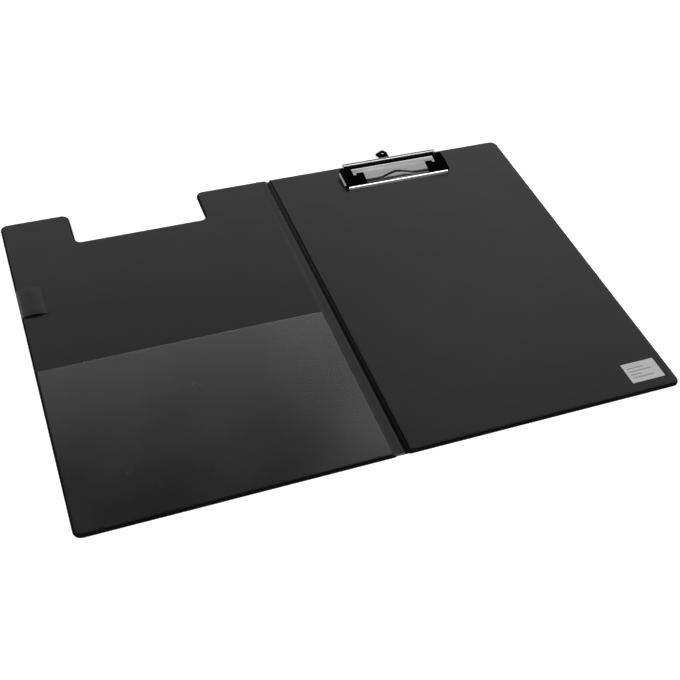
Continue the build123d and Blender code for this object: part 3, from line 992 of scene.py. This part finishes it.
def jaw_end(side, word):
    """One end of the jaw."""
    wall = [(b, wall_foot(b)) for b in (WALL_FRONT, WALL_REAR)]
    wall += [(b, jaw_top(b) - WALL_SUNK) for b in reversed(WALL_BACKS)]
    wall_plate = end_plate(f"jaw_wall_{word}", wall, side, WALL_INNER, on_jaw)
    attach(wall_plate, "clip_jaw", "chromed_steel", "jaw_plate")
    outline = mirrored_outline(FOOT_OUTLINE, side)
    # foot in chrome darkened as painted shade
    foot = moulding(f"jaw_foot_{word}", outline, foot_low, foot_high, SHADE_PAINTED_CHROME, on_jaw, bevel=0.12)
    attach(foot, "clip_jaw", "chromed_steel", "jaw_plate")
    ear = [(PIVOT_BACK - EAR_RADIUS, EAR_TOP), (PIVOT_BACK + EAR_RADIUS, EAR_TOP)]
    ear += arc(PIVOT_BACK, PIVOT_UP, EAR_RADIUS, 0, -180, 16)
    ear_plate = end_plate(f"jaw_ear_{word}", ear, side, EAR_INNER, on_clip)
    attach(ear_plate, "clip_jaw", "chromed_steel", "jaw_plate")
    cuts = [(side * (CAP_SKIRT + gap), None) for gap in (-CUT_GAP, CUT_GAP)]
    cuts += [(None, CAP_TOE + gap) for gap in (-CUT_GAP, CUT_GAP)]
    cuts += [(None, SLOPE_RUN + step) for step in CROWN_CUTS]
    outline = mirrored_outline(CAP_OUTLINE, side)
    name = f"end_cap_{word}_moulding"
    cap = moulding(name, outline, cap_low, cap_high, BLACK_PLASTIC_AND_SHADE, on_jaw, bevel=0.3, cuts=cuts)
    attach(cap, "clip_jaw", "black_gloss_plastic", f"end_cap_{word}")


attach(jaw_sheet(), "clip_jaw", "chromed_steel", "jaw_plate")
attach(jaw_roll(), "clip_jaw", "chromed_steel", "jaw_plate")
jaw_end(1, "right")
jaw_end(-1, "left")


# Eyelet: a lopsided tab with a thick rounded rim, drawn as rings of (step out, share of the way out, height)
EYELET_HOLE = (0.0, 38.4)
HOLE_RADIUS = 1.6
EYELET_SHEET = 0.7
EYELET_RIM = 1.9
EYELET_LIFT = 0.1
EYELET_NECK = 35.4
NECK_RUN = 2.5
EYELET_POINTS = 72
EYELET_OUTLINE = rounded(
    [
        (4.6, 20.0, 0.4), (4.2, 36.0, 1.0), (4.9, 39.6, 1.0), (3.4, 42.4, 1.0), (1.4, 44.05, 1.0),
        (-1.6, 42.6, 2.0), (-6.4, 40.0, 0.8), (-6.9, 36.8, 0.8), (-5.5, 35.6, 0.4), (-5.5, 20.0, 0.4),
    ],
    closed=True,
)
EYELET_RINGS = (
    (0.0, 0.0, 0.15), (0.0, 0.0, EYELET_RIM - 0.3), (0.3, 0.0, EYELET_RIM), (0.0, 0.32, EYELET_RIM - 0.05),
    (0.0, 0.64, EYELET_RIM - 0.45), (0.0, 0.9, EYELET_SHEET + 0.25), (0.0, 1.0, EYELET_SHEET - 0.1),
    (0.0, 1.0, 0.15), (-0.15, 1.0, 0.0), (0.15, 0.0, 0.0),
)
PARALLEL = 1e-9
TOUCH = 1e-6


def reach_of(outline, centre, angle):
    """Distance from a centre to an outline along an angle."""
    dx, dy = math.cos(angle), math.sin(angle)
    best = 0.0
    for (x0, y0), (x1, y1) in zip(outline, outline[1:] + outline[:1]):
        ex, ey = x1 - x0, y1 - y0
        cross = dx * ey - dy * ex
        if abs(cross) < PARALLEL:
            continue
        along = ((x0 - centre[0]) * ey - (y0 - centre[1]) * ex) / cross
        share = ((x0 - centre[0]) * dy - (y0 - centre[1]) * dx) / cross
        if along > 0 and -TOUCH <= share <= 1 + TOUCH:
            best = max(best, along)
    return best


def eyelet():
    """Hanging tab from rings round its hole, its rim thick and its neck flat."""
    angles = [2 * math.pi * i / EYELET_POINTS for i in range(EYELET_POINTS)]
    outer = [reach_of(EYELET_OUTLINE, EYELET_HOLE, a) for a in angles]
    verts, faces = [], []
    for step, share, up in EYELET_RINGS:
        for angle, far in zip(angles, outer):
            reach = HOLE_RADIUS + (far - HOLE_RADIUS) * share + step
            x = EYELET_HOLE[0] + reach * math.cos(angle)
            y = EYELET_HOLE[1] + reach * math.sin(angle)
            fall = smooth_step((EYELET_NECK - y) / NECK_RUN)
            height = up + (min(up, EYELET_SHEET) - up) * fall
            verts.append(on_clip(x, y, EYELET_LIFT + height))
    for k in range(len(EYELET_RINGS)):
        faces += ring_faces(EYELET_POINTS, k, (k + 1) % len(EYELET_RINGS))
    return piece("eyelet_tab", verts, faces, TAB, angle=50.0)


attach(eyelet(), "eyelet", "black_eyelet_plastic", "hanging_eyelet")


# Trough band: a black strip laid in the trough as painted shade, a little lower to the rear
BAND_HALF = 43.6
BAND_FRONT = 17.9
BAND_REAR = 22.75
BAND_LOW = 3.7
BAND_HIGH = 5.0
BAND_LEVEL = 18.5
BAND_FALL = 0.08
BAND_OUTLINE = rounded(
    [
        (-BAND_HALF, BAND_FRONT, 0.3), (BAND_HALF, BAND_FRONT, 0.3),
        (BAND_HALF, BAND_REAR, 0.3), (-BAND_HALF, BAND_REAR, 0.3),
    ],
    closed=True,
)


def band_low(across, back):
    """Underside of the band."""
    return BAND_LOW


def band_high(across, back):
    """Upper face of the band."""
    return BAND_HIGH - BAND_FALL * (back - BAND_LEVEL)


# painted shade: a black strip where the trough lies in shade
band = moulding("trough_shade_band", BAND_OUTLINE, band_low, band_high, BLACK_PLASTIC_AND_SHADE, on_clip, bevel=0.4)
attach(band, "clip_jaw", "black_gloss_plastic")


# Stage and world, in metres
WHITE = (1, 1, 1)
FLOOR_HALF = 6
FLOOR_DEPTH = 0.0004
FLOOR_GLOW = 0.5
WORLD_LEVELS = (
    (0.0, 0.80), (0.58, 0.80), (0.64, 0.77), (0.68, 0.66),
    (0.72, 0.36), (0.766, 0.09), (0.81, 0.04), (0.92, 0.04),
)


def floor_material():
    """White floor: full white to the eye, to gloss and through clear sheet, and it keeps a soft shadow."""
    n = surface("floor_mat", Base_Color=(0.8, 0.8, 0.8, 1), Roughness=1.0, Specular_IOR_Level=0.0)
    n.shader.inputs["Emission Color"].default_value = (*WHITE, 1)
    path = n.add("LightPath").outputs
    either = n.math("MAXIMUM", path["Is Camera Ray"], path["Is Glossy Ray"])
    any_of = n.math("MAXIMUM", either, path["Is Transmission Ray"])
    n.feed("Emission Strength", n.math("MULTIPLY", any_of, FLOOR_GLOW))
    return n.owner


def stage_floor():
    """Square floor just under the folder."""
    corners = [(-1, -1), (1, -1), (1, 1), (-1, 1)]
    mesh = bpy.data.meshes.new("floor")
    verts = [(x * FLOOR_HALF, y * FLOOR_HALF, -FLOOR_DEPTH) for x, y in corners]
    mesh.from_pydata(verts, [], [(0, 1, 2, 3)])
    mesh.materials.append(floor_material())
    floor = bpy.data.objects.new("floor", mesh)
    bpy.context.scene.collection.objects.link(floor)
    return floor


def studio():
    """World that is light at the sides and dark overhead, and plain white to the camera."""
    n = Nodes(bpy.data.worlds.new("studio"), "Background")
    up = n.split(n.add("TexCoord").outputs["Generated"])["Z"]
    light = n.ramp(up, *[(place, grey(level)) for place, level in WORLD_LEVELS])
    n.feed("Color", n.mix(n.add("LightPath").outputs["Is Camera Ray"], light, WHITE))
    return n.owner


floor = stage_floor()
bpy.context.scene.world = studio()


# Lamps and camera, in metres; the camera was fitted to the folder's corners in the photo
PLATE_LAMP_WAY = Vector((0.36, 0.42, 0.83))
PLATE_LAMP_FAR = 1.2
CAMERA_PLACE = (-0.239213, -0.584879, 0.589263)
CAMERA_AIM = (-0.002724, -0.048591, 0.0)
CAMERA_ROLL = 4.9285
CAMERA_LENS = 57.98
CAMERA_FILM = 36.0


def looking(place, aim, roll=0.0):
    """Placement of a lamp or camera that looks from a place at an aim, rolled by some degrees."""
    turn = (Vector(aim) - Vector(place)).to_track_quat("-Z", "Y").to_matrix().to_4x4()
    return Matrix.Translation(place) @ turn @ Matrix.Rotation(math.radians(roll), 4, "Z")


def softbox(name, place, aim, size, watts):
    """Area lamp looking at a point."""
    light = bpy.data.lights.new(name, "AREA")
    light.shape = "RECTANGLE"
    light.size, light.size_y = size
    light.energy = watts
    lamp = bpy.data.objects.new(name, light)
    bpy.context.scene.collection.objects.link(lamp)
    lamp.matrix_world = looking(place, aim)


def photo_camera():
    """Camera at the photo's viewing angle."""
    data = bpy.data.cameras.new("camera")
    data.lens = CAMERA_LENS
    data.sensor_width = CAMERA_FILM
    camera = bpy.data.objects.new("camera", data)
    bpy.context.scene.collection.objects.link(camera)
    camera.matrix_world = looking(CAMERA_PLACE, CAMERA_AIM, CAMERA_ROLL)
    return camera


clip_middle = row(*on_clip(0, 10, 4))
softbox("front_softbox", (0.55, -0.85, 1.10), (0.1, 0.0, 0.0), (1.1, 0.7), 8.0)
softbox("left_softbox", (-1.0, -0.75, 1.25), (0.0, 0.0, 0.0), (1.1, 0.9), 15.0)
softbox("plate_softbox", clip_middle + PLATE_LAMP_FAR * PLATE_LAMP_WAY, clip_middle, (0.38, 0.38), 0.15)
bpy.context.scene.camera = photo_camera()
bpy.context.scene.view_settings.view_transform = "Standard"
